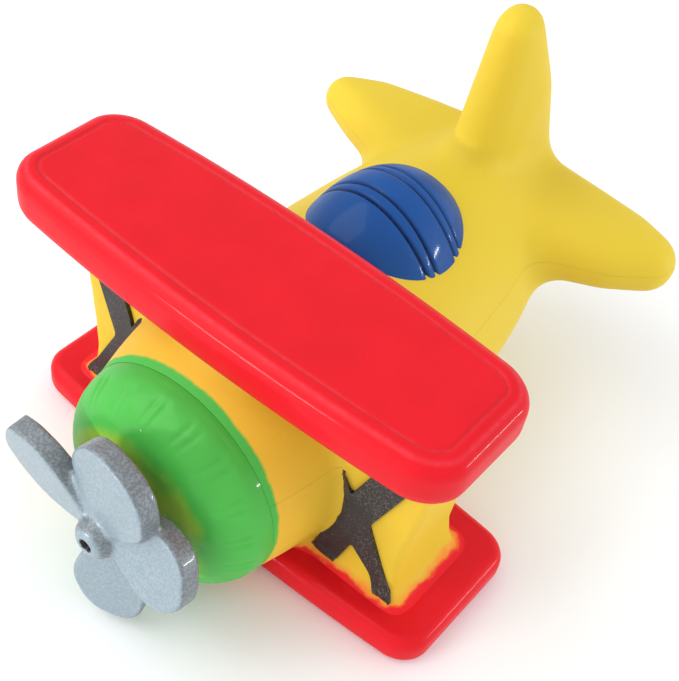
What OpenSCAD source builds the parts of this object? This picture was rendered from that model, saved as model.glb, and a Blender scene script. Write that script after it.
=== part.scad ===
// Soft vinyl toy biplane: fat round body, two slab wings, filled strut blocks and a
// free-spinning four-blade propeller.
// Axes: nose at -Y, port side at +X, up at +Z.
// Origin: centre of the flat underside of the lower wing, on which the toy stands.

/* [Wings] */
// Half of the upper wing's span
upper_half_span = 42; // [38:0.5:42]
// Half of the lower wing's span
lower_half_span = 43; // [40:0.5:43]
// Upper wing's chord at its tips
upper_tip_chord = 23.8; // [22:0.2:26]
// Lower wing's chord at its tips
lower_tip_chord = 28.4; // [26:0.2:30]
// How much each half chord swells from tip to middle
chord_bow = 2.1; // [0:0.1:3]
// How far the upper wing sits ahead of the lower one
stagger = 7.7; // [5:0.1:9]
// Thickness of the upper wing
upper_wing_t = 9; // [8:0.5:10]
// Thickness of the lower wing
lower_wing_t = 6.1; // [5.5:0.1:7]
// Height of the upper wing's underside
upper_wing_z = 46.5; // [46:0.1:48]
// Depth of the fine line moulded into the upper wing's top
panel_line_d = 0.4; // [0.2:0.1:0.6]

/* [Body] */
// Height of the propeller axis and of the cowling's axis
axis_z = 22; // [21.8:0.1:23]
// Wall of the hollow vinyl mouldings
wall = 2; // [1.6:0.1:2.4]
// Height of the moulding seam at mid length
seam_z = 31.5; // [30:0.5:33]
// How much the seam climbs towards the tail, per millimetre
seam_slope = 0.08; // [0:0.01:0.1]

/* [Struts] */
// Distance from the centre line to a strut block's outer face at its waist
block_waist_x = 33.5; // [32:0.5:35]
// Front face of the strut blocks
block_front_y = -9.2; // [-10:0.1:-8]
// Length of the strut blocks along the toy at the lower wing
block_length = 17; // [15:0.5:18]
// How far the black cross braces stand proud of the blocks
brace_proud = 0.9; // [0.6:0.1:1.2]

/* [Canopy] */
// Half the width of the egg that the canopy's dome is cut from
canopy_half_w = 17.7; // [17:0.1:18.5]
// Half the length of that egg
canopy_half_l = 21.6; // [20:0.1:22]
// Top of the canopy
canopy_top_z = 53.3; // [52:0.1:55]

/* [Cowling and propeller] */
// Largest radius of the engine cowling
cowl_r = 19.3; // [19:0.1:20]
// Front face of the cowling
cowl_front_y = -31.7; // [-32.5:0.1:-31]
// Tip radius of the propeller
prop_r = 20.5; // [19:0.1:21.5]
// Pitch of the propeller blades, in degrees
blade_pitch = 12; // [8:1:20]
// Thickness of a blade
blade_t = 3.4; // [2.8:0.1:3.6]
// Radius of the steel axle
axle_r = 1.1; // [1:0.1:1.6]
// Radial running clearance of the axle in its bush
axle_gap = 0.05; // [0.02:0.01:0.1]

/* [Hidden] */

// Colours of the sprayed and moulded vinyl
YELLOW = [0.90, 0.78, 0.16];
RED = [0.85, 0.08, 0.10];
GREEN = [0.22, 0.68, 0.26];
BLUE = [0.07, 0.24, 0.55];
STEEL_BLUE = [0.50, 0.58, 0.66];
BLACK = [0.12, 0.12, 0.12];
METAL = [0.62, 0.63, 0.65];
WHITE = [0.93, 0.93, 0.90];

ring_sides = 40;        // points round one cross-section of the body
ring_steps = 2;         // cross-sections between two stations
big = 200;              // a length that reaches past everything

// Cross-sections along the body: [y, centre height, half width, rise above, drop below]
STATIONS = [
    [-22.5, 22.0, 19.4, 19.4, 19.4],
    [-16.0, 22.0, 20.9, 22.5, 20.3],
    [-7.0, 22.2, 22.0, 24.8, 20.9],
    [5.0, 22.6, 22.8, 24.4, 21.3],
    [19.0, 23.4, 23.2, 22.8, 21.8],
    [31.0, 24.4, 22.3, 21.6, 21.4],
    [42.0, 25.8, 20.4, 19.8, 19.9],
    [52.0, 27.4, 17.4, 17.2, 17.2],
    [62.0, 29.6, 13.2, 13.4, 13.2],
    [69.0, 31.2, 8.8, 9.2, 9.0],
    [73.4, 32.0, 3.2, 3.6, 3.6]
];
last_station = len(STATIONS) - 1;

edge_r_upper = 3;       // rounding round the upper wing
edge_r_lower = 2.2;     // rounding round the lower wing
corner_r_upper = 6;     // wing tips' corners, seen from above
corner_r_lower = 5.2;
panel_inset = 3;        // from the wing's edge to the moulded line
panel_line_w = 0.5;

// Balls inside the fin: place along the toy, height and radius
FIN_BALLS = [
    [50.5, 43, 5.6], [66, 38, 5.7], [52, 57, 4.6],
    [58, 56, 6], [52.2, 69, 3.7], [53.8, 69.2, 3.9]
];
// Balls inside each tailplane lobe: distance out, place along the toy, height and radius
PORT_BALLS = [
    [6, 49, 34, 6.5], [6, 63.3, 34, 6.2], [18, 52, 34.4, 6], [18, 62.3, 34.4, 6],
    [27, 55.4, 34.8, 5.3], [27, 62.1, 34.8, 5.3], [32.3, 60, 35, 5.4]
];
STARBOARD_BALLS = [
    [6, 49, 34, 6.5], [6, 63.3, 34, 6.2], [18, 52, 34.4, 5.9], [18, 60.5, 34.4, 5.9],
    [27, 54.3, 34.8, 5.2], [27, 58.6, 34.8, 5.2], [33.1, 56, 35, 4.3]
];

canopy_y = 24;          // middle of the canopy along the toy
canopy_z = 20;          // centre of its egg, deep inside the body
canopy_base_z = 38;     // nothing of the canopy reaches below this

block_root_x = 22.8;        // a block meets its stub on the body here
block_front_foot = 36.2;    // outer edge of a block where it stands on the lower wing
block_head_x = 38.6;        // and where it meets the upper wing
block_head_length = 13;
brace_sunk = 1;             // how deep a brace sits in its block
dowel_r = 2.6;
dowel_depth = 3.4;
dowel_x = 28;
dowel_y = -2;

hub_r = 3.7;
hub_front_y = -42.2;
hub_back_y = -32.9;
blade_plane_y = -37.7;
// Direction of each blade from +X towards +Z; they are not quite evenly spaced
BLADE_ANGLES = [165, 80, 10, -86];
pin_recess = 0.9;           // the axle's end sits this far inside the hub's nose
bush_r = 2.6;
bush_flange_r = 4.4;
bush_flange_t = 1;
bush_inner_y = -25.5;
bush_front_y = -32.3;
retainer_r = 3.2;
retainer_t = 1.4;
axle_end_y = -23.2;
bulkhead_y = -22.5;
plug_depth = 2;
plug_r = cowl_r - wall - 0.1;
cowl_round = 8.5;             // radius between the cowling's side and its front
cowl_grooves = 24;          // moulded cooling grooves round the cowling

squeaker_y = 27;
squeaker_r = 6.5;
squeaker_h = 8;
squeaker_z = 2.9;
reed_r = 4.6;
reed_t = 0.4;
air_hole_r = 1;

// ---------- helpers ----------

// Smooth value between four neighbouring stations (Catmull-Rom)
function blend4(a, b, c, d, t) =
    b + 0.5 * t * (c - a + t * (2 * a - 5 * b + 4 * c - d + t * (3 * (b - c) + d - a)));

function station(i) = STATIONS[max(0, min(last_station, i))];

function section(i, t) = blend4(station(i - 1), station(i), station(i + 1), station(i + 2), t);

// All cross-sections of the body, shrunk by inset on every side
function body_sections(inset) = [
    for (k = [0 : last_station * ring_steps])
        let (i = floor(k / ring_steps), s = section(i, k / ring_steps - i))
            [s[0] - (k == 0 ? inset : 0), s[1], max(0.6, s[2] - inset), max(0.6, s[3] - inset), max(0.6, s[4] - inset)]
];

// Points round one cross-section
function ring(s) = [
    for (k = [0 : ring_sides - 1])
        let (a = -360 * k / ring_sides)
            [s[2] * cos(a), s[0], s[1] + (sin(a) >= 0 ? s[3] : s[4]) * sin(a)]
];

// Faces of a loft: side quads between rings, and a cap on each end
function loft_faces(rings, sides) = concat(
    [[for (k = [0 : sides - 1]) k]],
    [for (j = [0 : rings - 2], k = [0 : sides - 1])
        let (n = (k + 1) % sides)
            [j * sides + k, (j + 1) * sides + k, (j + 1) * sides + n, j * sides + n]],
    [[for (k = [sides - 1 : -1 : 0]) (rings - 1) * sides + k]]
);

module loft(rings) {
    polyhedron(
        points = [for (r = rings, p = r) p],
        faces = loft_faces(len(rings), len(rings[0])),
        convexity = 8
    );
}

// Points of a quarter circle, for one corner of a wing
function corner_points(cx, cy, r, from) = [
    for (a = [0 : 15 : 90]) [cx + r * cos(from + a), cy + r * sin(from + a)]
];

// How far a long side stands out at x
function bow(x, half_span) = chord_bow * (1 - pow(x / half_span, 2));

// A wing's outline: a rounded oblong whose long sides bow outwards
function wing_outline(half_span, half_chord, r) =
    let (
        cx = half_span - r,
        cy = half_chord - r,
        steps = 8,
        back = [for (k = [1 : steps - 1]) [cx - 2 * cx * k / steps, half_chord]],
        front = [for (k = [1 : steps - 1]) [2 * cx * k / steps - cx, -half_chord]],
        square = concat(
            corner_points(cx, cy, r, 0), back,
            corner_points(-cx, cy, r, 90),
            corner_points(-cx, -cy, r, 180), front,
            corner_points(cx, -cy, r, 270)
        )
    )
    [for (p = square) [p[0], p[1] * (1 + bow(p[0], half_span) / half_chord)]];

// One ring of a wing: its outline drawn in by inset, at height z
function wing_ring(half_span, half_chord, r, inset, z) = [
    for (p = wing_outline(half_span - inset, half_chord - inset, r - inset * 0.5)) [p[0], p[1], z]
];

// A slab wing with every edge rounded over a quarter circle
module wing(half_span, half_chord, r, t, edge) {
    steps = [0 : 15 : 90];
    loft(concat(
        [for (a = steps) wing_ring(half_span, half_chord, r, edge * (1 - sin(a)), edge * (1 - cos(a)))],
        [for (a = steps) wing_ring(half_span, half_chord, r, edge * (1 - cos(a)), t - edge * (1 - sin(a)))]
    ));
}

module upper_wing_solid() {
    translate([0, -stagger, upper_wing_z])
        wing(upper_half_span, upper_tip_chord / 2, corner_r_upper, upper_wing_t, edge_r_upper);
}

// Fine line moulded into the upper wing's top, a fixed way in from its edge
module panel_line() {
    translate([0, -stagger, upper_wing_z + upper_wing_t - panel_line_d])
        difference() {
            linear_extrude(1)
                polygon(wing_outline(upper_half_span - panel_inset, upper_tip_chord / 2 - panel_inset,
                                     corner_r_upper - panel_inset / 2));
            translate([0, 0, -1])
                linear_extrude(3)
                    polygon(wing_outline(upper_half_span - panel_inset - panel_line_w,
                                         upper_tip_chord / 2 - panel_inset - panel_line_w,
                                         corner_r_upper - panel_inset / 2 - panel_line_w));
        }
}

module lower_wing_solid() {
    wing(lower_half_span, lower_tip_chord / 2, corner_r_lower, lower_wing_t, edge_r_lower);
}

module body_solid(inset) {
    loft([for (s = body_sections(inset)) ring(s)]);
}

// One tail lobe: the tight skin round a few balls
module lobe(balls) {
    hull()
        for (b = balls)
            translate([b[0], b[1], b[2]])
                sphere(r = b[3], $fn = 24);
}

module fin_solid() {
    lobe([for (b = FIN_BALLS) [0, b[0], b[1], b[2]]]);
}

module tailplane_solid(side) {
    lobe([for (b = side > 0 ? PORT_BALLS : STARBOARD_BALLS) [side * b[0], b[1], b[2], b[3]]]);
}

// Short stubs on the body's sides, which the strut blocks are plugged onto
module block_stubs() {
    for (side = [1, -1])
        intersection() {
            block_form(side);
            translate([-block_root_x, -big / 2, 0])
                cube([2 * block_root_x, big, big]);
        }
}

// Everything above the moulding seam
module above_seam() {
    translate([0, 0, seam_z])
        rotate([atan(seam_slope), 0, 0])
            translate([-big / 2, -big / 2, 0])
                cube(big);
}

// The body with its tail, as one outer form
module airframe_solid() {
    body_solid(0);
    fin_solid();
    tailplane_solid(1);
    tailplane_solid(-1);
    block_stubs();
}

// Cut the body's crown flat where the upper wing lies on it
module crown_cut() {
    translate([-big / 2, -big / 2, upper_wing_z])
        cube([big, big / 2 + 8, big]);
}

module dowel_at(side, z, h) {
    translate([side * dowel_x, dowel_y, z])
        cylinder(r = dowel_r, h = h, $fn = 48);
}

// A disc or tube along the toy, from y = front to y = back
module turned(points) {
    translate([0, 0, axis_z])
        rotate([90, 0, 0])
            rotate_extrude($fn = 96)
                polygon([for (p = points) [p[0], -p[1]]]);
}

// ---------- body ----------

module fuselage_upper_shell() {
    color(YELLOW)
        difference() {
            intersection() {
                airframe_solid();
                above_seam();
            }
            body_solid(wall);
            crown_cut();
        }
}

module fuselage_lower_shell() {
    color(YELLOW)
        difference() {
            airframe_solid();
            above_seam();
            body_solid(wall);
            lower_wing_solid();
            squeaker_bore();
        }
}

module squeaker_bore() {
    translate([0, squeaker_y, 0])
        cylinder(r = squeaker_r, h = squeaker_z + squeaker_h, $fn = 64);
}

// A cup-shaped plug that joins the two shells' mouth to the cowling
module nose_bulkhead() {
    color(YELLOW)
        turned([
            [4, bulkhead_y - plug_depth], [plug_r, bulkhead_y - plug_depth],
            [plug_r, bulkhead_y + plug_depth], [plug_r - wall, bulkhead_y + plug_depth],
            [plug_r - wall, bulkhead_y - plug_depth + wall], [4, bulkhead_y - plug_depth + wall]
        ]);
}

// ---------- cowling ----------

// Section of the cowling: straight side, quarter round, flat front
function cowl_section(shrink) = concat(
    [[0, bulkhead_y], [cowl_r - shrink, bulkhead_y]],
    [for (a = [0 : 9 : 90])
        [cowl_r - shrink - (cowl_round - shrink) * (1 - cos(a)),
         cowl_front_y + shrink + (cowl_round - shrink) * (1 - sin(a))]],
    [[0, cowl_front_y + shrink]]
);

module engine_cowling() {
    color(GREEN)
        difference() {
            turned(cowl_section(0));
            turned([for (p = cowl_section(wall)) p[1] == bulkhead_y ? [p[0], bulkhead_y + 1] : p]);
            translate([0, cowl_front_y - 1, axis_z])
                rotate([-90, 0, 0])
                    cylinder(r = bush_r, h = wall + 2, $fn = 48);
            for (k = [0 : cowl_grooves - 1])
                translate([0, bulkhead_y - 3.6, axis_z])
                    rotate([0, 360 * (k + 0.5) / cowl_grooves, 0])
                        translate([0, 0, cowl_r + 0.6])
                            rotate([90, 0, 0])
                                cylinder(r = 1.1, h = 4, $fn = 24, center = true);
        }
}

// ---------- canopy ----------

module canopy_dome(shrink) {
    translate([0, canopy_y, canopy_z])
        scale([canopy_half_w - shrink, canopy_half_l - shrink, canopy_top_z - canopy_z - shrink])
            sphere(r = 1, $fn = 36);
}

module canopy() {
    color(BLUE)
        difference() {
            canopy_dome(0);
            canopy_dome(wall);
            translate([-big / 2, -big / 2, canopy_base_z - big])
                cube(big);
            body_solid(0);
        }
}

// ---------- wings ----------

module upper_wing() {
    color(RED)
        difference() {
            upper_wing_solid();
            panel_line();
            dowel_at(1, upper_wing_z - 1, dowel_depth + 1);
            dowel_at(-1, upper_wing_z - 1, dowel_depth + 1);
        }
}

module lower_wing() {
    color(RED)
        difference() {
            translate([0, 0, -0.5])
                wing(lower_half_span, lower_tip_chord / 2, corner_r_lower,
                     lower_wing_t + 0.5, edge_r_lower);
            translate([-big / 2, -big / 2, -big])
                cube(big);
            dowel_at(1, lower_wing_t - dowel_depth, dowel_depth + 1);
            dowel_at(-1, lower_wing_t - dowel_depth, dowel_depth + 1);
        }
}

module upper_wing_dowels() {
    color(WHITE)
        for (side = [1, -1])
            dowel_at(side, upper_wing_z - dowel_depth, 2 * dowel_depth);
}

module lower_wing_dowels() {
    color(WHITE)
        for (side = [1, -1])
            dowel_at(side, lower_wing_t - dowel_depth, 2 * dowel_depth);
}

// ---------- strut blocks and cross braces ----------

// Front view of a block: straight inner side, waisted outer side
module block_outline(side) {
    scale_h = upper_wing_z - lower_wing_t;
    outer = [for (k = [0 : 12])
        let (u = k / 12, z = lower_wing_t + scale_h * u)
            [block_waist_x + (block_front_foot - block_waist_x) * pow(1 - u / 0.22, 2) * (u < 0.22 ? 1 : 0)
             + (block_head_x - block_waist_x) * pow(max(0, (u - 0.22) / 0.78), 1.3), z]];
    points = concat([[10, lower_wing_t]], outer, [[10, upper_wing_z]]);
    polygon([for (p = points) [side * p[0], p[1]]]);
}

// A whole block with its stub: straight front, back that leans forward, open waist
module block_form(side) {
    lean = atan((block_length - block_head_length) / (upper_wing_z - lower_wing_t));
    difference() {
        translate([0, block_front_y + block_length, 0])
            rotate([90, 0, 0])
                linear_extrude(block_length)
                    block_outline(side);
        translate([-big / 2, block_front_y + block_head_length, upper_wing_z])
            rotate([lean, 0, 0])
                translate([0, 0, -big / 2])
                    cube([big, big, big]);
        brace_solid(side);
    }
}

module strut_block(side) {
    color(YELLOW)
        difference() {
            block_form(side);
            translate([-block_root_x, -big / 2, 0])
                cube([2 * block_root_x, big, big]);
            dowel_at(side, lower_wing_t - 1, dowel_depth + 1);
            dowel_at(side, upper_wing_z - dowel_depth, dowel_depth + 1);
        }
}

module strut_block_port() {
    strut_block(1);
}

module strut_block_starboard() {
    strut_block(-1);
}

// One arm of a cross, from (x1, z1) to (x2, z2), w wide
module arm(x1, z1, x2, z2, w) {
    length = norm([x2 - x1, z2 - z1]);
    translate([x1, z1])
        rotate(atan2(z2 - z1, x2 - x1))
            translate([0, -w / 2])
                square([length, w]);
}

module brace_solid(side) {
    mirror([side < 0 ? 1 : 0, 0, 0])
        translate([0, block_front_y + brace_sunk, 0])
            rotate([90, 0, 0])
                linear_extrude(brace_proud + brace_sunk)
                    intersection() {
                        union() {
                            arm(20.4, 2, 35.6, 50, 4.4);
                            arm(33.4, 2, 15.4, 50, 4);
                            translate([25.2, 19.8])
                                circle(r = 3.6, $fn = 48);
                        }
                        translate([18, lower_wing_t])
                            square([18, upper_wing_z - lower_wing_t - 0.2]);
                    }
}

module cross_brace(side) {
    color(BLACK)
        difference() {
            brace_solid(side);
            body_solid(0);
        }
}

module cross_brace_port() {
    cross_brace(1);
}

module cross_brace_starboard() {
    cross_brace(-1);
}

// ---------- propeller ----------

// Flat outline of one blade, growing along +Y from the hub
module blade_outline() {
    tip_w = 8.6;
    corner = 4;
    shoulder = 14.8;
    intersection() {
        circle(r = prop_r, $fn = 128);
        union() {
            polygon([
                [-2.4, 0], [2.4, 0], [4.2, 5.5], [tip_w - 0.7, shoulder - 2.2],
                [tip_w, shoulder], [tip_w - corner, shoulder + corner],
                [3, prop_r + 1], [-3, prop_r + 1],
                [corner - tip_w, shoulder + corner], [-tip_w, shoulder],
                [0.7 - tip_w, shoulder - 2.2], [-4.2, 5.5]
            ]);
            for (side = [1, -1])
                translate([side * (tip_w - corner), shoulder])
                    circle(r = corner, $fn = 48);
        }
    }
}

module propeller() {
    color(STEEL_BLUE)
        difference() {
            union() {
                turned(concat(
                    [[0, hub_back_y], [hub_r, hub_back_y]],
                    [for (a = [0 : 10 : 90])
                        [hub_r - 2.6 * (1 - cos(a)), hub_front_y + 2.6 * (1 - sin(a))]],
                    [[0, hub_front_y]]
                ));
                for (a = BLADE_ANGLES)
                    translate([0, blade_plane_y, axis_z])
                        rotate([0, 90 - a, 0])
                            rotate([0, 0, -blade_pitch])
                                rotate([90, 0, 0])
                                    linear_extrude(blade_t, center = true)
                                        blade_outline();
            }
            axle_bore();
        }
}

// Hole for the axle, right through the hub
module axle_bore() {
    translate([0, hub_front_y - 1, axis_z])
        rotate([-90, 0, 0])
            cylinder(r = axle_r, h = hub_back_y - hub_front_y + 2, $fn = 48);
}

module propeller_axle() {
    color(METAL)
        turned([
            [0, hub_front_y + pin_recess], [axle_r, hub_front_y + pin_recess],
            [axle_r, axle_end_y], [0, axle_end_y]
        ]);
}

module axle_bush() {
    bore = axle_r + axle_gap;
    seat_y = cowl_front_y + wall;
    color(WHITE)
        turned([
            [bore, bush_front_y], [bush_r, bush_front_y], [bush_r, seat_y],
            [bush_flange_r, seat_y], [bush_flange_r, seat_y + bush_flange_t],
            [bush_r, seat_y + bush_flange_t], [bush_r, bush_inner_y], [bore, bush_inner_y]
        ]);
}

module axle_retainer() {
    front_y = bush_inner_y + 0.4;
    color(METAL)
        turned([
            [axle_r, front_y], [retainer_r, front_y],
            [retainer_r, front_y + retainer_t], [axle_r, front_y + retainer_t]
        ]);
}

// ---------- squeaker ----------

module squeaker_housing() {
    color(WHITE)
        translate([0, squeaker_y, squeaker_z])
            rotate_extrude($fn = 64)
                polygon([
                    [air_hole_r, 0], [squeaker_r, 0], [squeaker_r, squeaker_h],
                    [squeaker_r - 1, squeaker_h], [squeaker_r - 1, 2], [air_hole_r, 2]
                ]);
}

module squeaker_reed() {
    color(METAL)
        translate([0, squeaker_y, squeaker_z + 2])
            difference() {
                cylinder(r = reed_r, h = reed_t, $fn = 48);
                translate([-0.3, -1, -1])
                    cube([0.6, reed_r, 2]);
            }
}

module squeaker_cap() {
    color(WHITE)
        translate([0, squeaker_y, squeaker_z + squeaker_h])
            rotate_extrude($fn = 64)
                polygon([[air_hole_r, 0], [squeaker_r, 0], [squeaker_r, 1], [air_hole_r, 1]]);
}

fuselage_upper_shell();
fuselage_lower_shell();
nose_bulkhead();
engine_cowling();
canopy();
upper_wing();
lower_wing();
strut_block_port();
strut_block_starboard();
cross_brace_port();
cross_brace_starboard();
upper_wing_dowels();
lower_wing_dowels();
propeller();
propeller_axle();
axle_bush();
axle_retainer();
squeaker_housing();
squeaker_reed();
squeaker_cap();
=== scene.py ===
# %% [markdown]
# # A soft vinyl toy biplane
#
# The real toy is cast in soft vinyl: a fat yellow body with a star-shaped tail, two red
# slab wings held apart by filled strut blocks, a green engine cowling, a blue canopy and
# a grey-blue propeller that spins on a steel pin. The engineering model gives every piece
# its place and size. This script gives each one its finished surface, made of the soft
# edges, fillets and sprayed colours that cast vinyl has.

# %% Load the engineering model
import math

import bmesh
import bpy
from mathutils import Matrix, Vector, noise
from mathutils.bvhtree import BVHTree


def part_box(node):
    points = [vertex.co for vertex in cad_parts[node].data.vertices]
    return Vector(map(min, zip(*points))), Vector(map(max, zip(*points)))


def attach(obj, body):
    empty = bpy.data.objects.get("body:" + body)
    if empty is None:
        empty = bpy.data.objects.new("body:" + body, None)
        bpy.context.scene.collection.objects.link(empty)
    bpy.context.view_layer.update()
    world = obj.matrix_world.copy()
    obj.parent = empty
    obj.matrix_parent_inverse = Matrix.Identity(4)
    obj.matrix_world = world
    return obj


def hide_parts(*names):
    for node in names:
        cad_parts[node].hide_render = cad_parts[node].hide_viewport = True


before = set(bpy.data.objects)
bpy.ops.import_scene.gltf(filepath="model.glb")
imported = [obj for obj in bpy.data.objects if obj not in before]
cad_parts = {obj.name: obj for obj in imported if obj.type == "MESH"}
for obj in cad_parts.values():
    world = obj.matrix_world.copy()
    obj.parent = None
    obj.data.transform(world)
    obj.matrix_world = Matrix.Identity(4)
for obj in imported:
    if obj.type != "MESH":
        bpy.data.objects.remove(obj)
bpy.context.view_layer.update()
MM = 0.001

# %% [markdown]
# ## The camera
#
# The camera comes first. It looks down on the nose from the port side, and it is rolled,
# so that the standing toy looks as if it banked. Its place is given as angles and a
# distance about a point inside the toy, which is easier to adjust than a bare matrix.

# %% Camera
VIEW_AZIMUTH = math.radians(31.93)
VIEW_ELEVATION = math.radians(47.02)
VIEW_ROLL = math.radians(10.53)
VIEW_DISTANCE = 195.74 * MM
AIM_POINT = Vector((5.89, 6.99, 33.71)) * MM

turn = (
    Matrix.Rotation(VIEW_AZIMUTH, 4, "Z")
    @ Matrix.Rotation(math.pi / 2 - VIEW_ELEVATION, 4, "X")
    @ Matrix.Rotation(VIEW_ROLL, 4, "Z")
)
lens = bpy.data.cameras.new("camera")
lens.sensor_width = 36
lens.lens = 64.76
lens.clip_start = 0.01
lens.clip_end = 10
camera = bpy.data.objects.new("camera", lens)
camera.matrix_world = Matrix.Translation(AIM_POINT) @ turn @ Matrix.Translation((0, 0, VIEW_DISTANCE))
bpy.context.collection.objects.link(camera)
bpy.context.scene.camera = camera
print("camera at", [round(c / MM) for c in camera.matrix_world.translation], "mm")

# %% [markdown]
# ## Working in millimetres
#
# The pieces are a few millimetres thick, so every mesh is shaped in millimetres and
# scaled to metres as the last step. `corners` gives a node's box from the engineering
# model in those units, so that sizes follow the model and aren't typed in twice.

# %% Helpers that measure
def corners(node):
    """Lowest and highest corner of a node, in millimetres."""
    low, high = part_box(node)
    return low / MM, high / MM


wing_low, wing_high = corners("upper_wing")
foot_low, foot_high = corners("lower_wing")
cowl_low, cowl_high = corners("engine_cowling")
prop_low, prop_high = corners("propeller")
AXIS_Z = (cowl_low.z + cowl_high.z) / 2
COWL_R = (cowl_high.z - cowl_low.z) / 2
FOOT_TOP = foot_high.z
WING_UNDER = wing_low.z
print("propeller axis at", round(AXIS_Z, 2), "mm, gap between wings", round(WING_UNDER - FOOT_TOP, 1))

# %% Helpers that make
def to_object(bm, name):
    """A mesh object from a bmesh, linked to the scene."""
    mesh = bpy.data.meshes.new(name)
    bm.to_mesh(mesh)
    bm.free()
    made = bpy.data.objects.new(name, mesh)
    bpy.context.collection.objects.link(made)
    return made


def to_bmesh(source):
    """The evaluated mesh of an object as a bmesh. The object itself is removed."""
    graph = bpy.context.evaluated_depsgraph_get()
    mesh = source.evaluated_get(graph).to_mesh()
    bm = bmesh.new()
    bm.from_mesh(mesh)
    source.evaluated_get(graph).to_mesh_clear()
    bpy.data.objects.remove(source)
    return bm


def finish_piece(bm, name, nodes, material, body="airframe", crease=40):
    """Scale to metres, shade smooth up to the crease angle, and put on its body."""
    bmesh.ops.scale(bm, vec=Vector((MM, MM, MM)), verts=bm.verts)
    piece = to_object(bm, name)
    piece.data.materials.append(material)
    piece.data.shade_smooth()
    piece.data.set_sharp_from_angle(angle=math.radians(crease))
    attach(piece, body)
    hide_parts(*nodes)
    print(name, "has", len(piece.data.polygons), "faces")
    return piece


def outward(bm):
    """Merge doubles, then point every face of a closed mesh outwards."""
    bmesh.ops.remove_doubles(bm, verts=bm.verts, dist=0.0005)
    bmesh.ops.recalc_face_normals(bm, faces=bm.faces)


# %% [markdown]
# ## Colour helpers
#
# Several finishes share the same effects, so each effect is one node group: the faint
# waviness of a cast skin, the soft ragged edge that a spray mask leaves, and the fine
# flake and dust in the darker paints. A group only puts out masks and heights; the
# shader itself stays in each material.

# %% Node group helper
def new_group(name, inputs, outputs):
    """An empty shader node group with float or vector sockets, and its two end nodes."""
    group = bpy.data.node_groups.new(name, "ShaderNodeTree")
    for label, kind, value in inputs:
        socket = group.interface.new_socket(label, in_out="INPUT", socket_type=kind)
        if value is not None:
            socket.default_value = value
    for label, kind in outputs:
        group.interface.new_socket(label, in_out="OUTPUT", socket_type=kind)
    return group, group.nodes.new("NodeGroupInput"), group.nodes.new("NodeGroupOutput")


def add_noise(tree, vector, scale, detail=2.0, roughness=0.5):
    """A noise texture read at a vector. Scale is in waves per metre."""
    node = tree.nodes.new("ShaderNodeTexNoise")
    node.inputs["Scale"].default_value = scale
    node.inputs["Detail"].default_value = detail
    node.inputs["Roughness"].default_value = roughness
    tree.links.new(vector, node.inputs["Vector"])
    return node.outputs["Fac"]


def add_math(tree, operation, first, second=None, third=None):
    """A math node on sockets or plain numbers."""
    node = tree.nodes.new("ShaderNodeMath")
    node.operation = operation
    for place, value in enumerate((first, second, third)):
        if value is None:
            continue
        if hasattr(value, "is_linked"):
            tree.links.new(value, node.inputs[place])
        else:
            node.inputs[place].default_value = value
    return node.outputs[0]


def add_range(tree, value, low, high):
    """A smooth step from 0 at low to 1 at high. The ends may be sockets or numbers."""
    node = tree.nodes.new("ShaderNodeMapRange")
    node.interpolation_type = "SMOOTHSTEP"
    tree.links.new(value, node.inputs["Value"])
    for label, end in (("From Min", low), ("From Max", high)):
        if hasattr(end, "is_linked"):
            tree.links.new(end, node.inputs[label])
        else:
            node.inputs[label].default_value = end
    return node.outputs["Result"]


def add_mix(tree, factor, first, second):
    """Mix two colours, each a socket or an RGB tuple."""
    node = tree.nodes.new("ShaderNodeMix")
    node.data_type = "RGBA"
    tree.links.new(factor, node.inputs["Factor"])
    for label, colour in (("A", first), ("B", second)):
        socket = [s for s in node.inputs if s.name == label and s.type == "RGBA"][0]
        if hasattr(colour, "is_linked"):
            tree.links.new(colour, socket)
        else:
            socket.default_value = (*colour, 1)
    return [s for s in node.outputs if s.type == "RGBA"][0]


# %% Cast skin: slow waviness and fine orange peel
cast_skin, skin_in, skin_out = new_group(
    "Cast skin",
    [("Vector", "NodeSocketVector", None), ("Wave Size", "NodeSocketFloat", 90.0),
     ("Peel Size", "NodeSocketFloat", 900.0), ("Peel Share", "NodeSocketFloat", 0.15)],
    [("Height", "NodeSocketFloat"), ("Blotch", "NodeSocketFloat")],
)
wave = cast_skin.nodes.new("ShaderNodeTexNoise")
wave.inputs["Detail"].default_value = 1.5
peel = cast_skin.nodes.new("ShaderNodeTexNoise")
peel.inputs["Detail"].default_value = 2.0
for texture, size in ((wave, "Wave Size"), (peel, "Peel Size")):
    cast_skin.links.new(skin_in.outputs["Vector"], texture.inputs["Vector"])
    cast_skin.links.new(skin_in.outputs[size], texture.inputs["Scale"])
peel_part = add_math(cast_skin, "MULTIPLY", peel.outputs["Fac"], skin_in.outputs["Peel Share"])
height = add_math(cast_skin, "ADD", wave.outputs["Fac"], peel_part)
cast_skin.links.new(height, skin_out.inputs["Height"])
cast_skin.links.new(add_range(cast_skin, wave.outputs["Fac"], 0.35, 0.7), skin_out.inputs["Blotch"])
print("group", cast_skin.name)

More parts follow.
